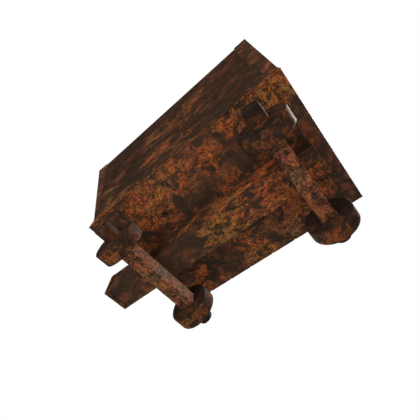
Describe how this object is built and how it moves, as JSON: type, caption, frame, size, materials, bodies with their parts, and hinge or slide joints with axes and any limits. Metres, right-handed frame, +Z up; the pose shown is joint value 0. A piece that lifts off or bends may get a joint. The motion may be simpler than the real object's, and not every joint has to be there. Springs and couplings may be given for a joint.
{
  "type": "mine cart",
  "caption": "Hand-pushed mine cart: flared riveted steel tub on a box centre sill with a buffer, and plain disc wheels turning on fixed square axles.",
  "frame": {"origin": "on the running surface under the wheels, below the middle of the overall length and width", "axes": "+X along the cart towards the plain front end, the buffer stands out at -X; +Y to the cart's left side; +Z up"},
  "size_m": [1.582, 1.238, 0.972],
  "materials": {
    "tub_plate": "heavily rusted rolled plate",
    "frame_steel": "heavily rusted rolled sections",
    "sill_steel": "heavily rusted box section",
    "axle_steel": "rusted forged bar, journals turned bright",
    "wheel_iron": "rusted casting, tread worn",
    "bush_bronze": "dull bearing bronze",
    "rivet_steel": "rusted rivet heads",
    "fastener_steel": "rusted bolts, nuts and washers"
  },
  "bodies": {
    "chassis": {"floor_plate": "tub_plate", "side_plate_left": "tub_plate", "side_plate_right": "tub_plate", "end_plate_front": "tub_plate", "end_plate_rear": "tub_plate", "crossbar_front": "frame_steel", "crossbar_rear": "frame_steel", "crossbar_caps": "frame_steel", "post_front_left": "frame_steel", "post_front_right": "frame_steel", "post_rear_left": "frame_steel", "post_rear_right": "frame_steel", "top_rail_front": "frame_steel", "top_rail_rear": "frame_steel", "rim_bar_left": "frame_steel", "rim_bar_right": "frame_steel", "side_angle_left": "frame_steel", "side_angle_right": "frame_steel", "end_angle_front": "frame_steel", "end_angle_rear": "frame_steel", "centre_sill": "sill_steel", "sill_cap": "sill_steel", "buffer_plate": "sill_steel", "axle_front": "axle_steel", "axle_rear": "axle_steel", "axle_seat_front": "axle_steel", "axle_seat_rear": "axle_steel", "axle_bolts": "fastener_steel", "sill_bolts": "fastener_steel", "bolt_washers": "fastener_steel", "bolt_sleeves": "fastener_steel", "thrust_washers": "fastener_steel", "end_washers": "fastener_steel", "axle_nuts": "fastener_steel", "split_pins": "fastener_steel", "floor_rivets": "rivet_steel", "side_rivets": "rivet_steel", "rim_rivets": "rivet_steel", "end_rivets": "rivet_steel", "frame_rivets": "rivet_steel"},
    "wheel_set_front_left": {"wheel_front_left": "wheel_iron", "bushes_front_left": "bush_bronze", "hub_cap_front_left": "fastener_steel"},
    "wheel_set_front_right": {"wheel_front_right": "wheel_iron", "bushes_front_right": "bush_bronze", "hub_cap_front_right": "fastener_steel"},
    "wheel_set_rear_left": {"wheel_rear_left": "wheel_iron", "bushes_rear_left": "bush_bronze", "hub_cap_rear_left": "fastener_steel"},
    "wheel_set_rear_right": {"wheel_rear_right": "wheel_iron", "bushes_rear_right": "bush_bronze", "hub_cap_rear_right": "fastener_steel"}
  },
  "joints": [
    {"name": "wheel_spin_front_left", "type": "hinge", "parent": "chassis", "child": "wheel_set_front_left", "pos_m": [0.57, 0.3055, 0.1325], "axis": [0, 1, 0], "continuous": true},
    {"name": "wheel_spin_front_right", "type": "hinge", "parent": "chassis", "child": "wheel_set_front_right", "pos_m": [0.57, -0.3055, 0.1325], "axis": [0, 1, 0], "continuous": true},
    {"name": "wheel_spin_rear_left", "type": "hinge", "parent": "chassis", "child": "wheel_set_rear_left", "pos_m": [-0.392, 0.3055, 0.1325], "axis": [0, 1, 0], "continuous": true},
    {"name": "wheel_spin_rear_right", "type": "hinge", "parent": "chassis", "child": "wheel_set_rear_right", "pos_m": [-0.392, -0.3055, 0.1325], "axis": [0, 1, 0], "continuous": true}
  ]
}
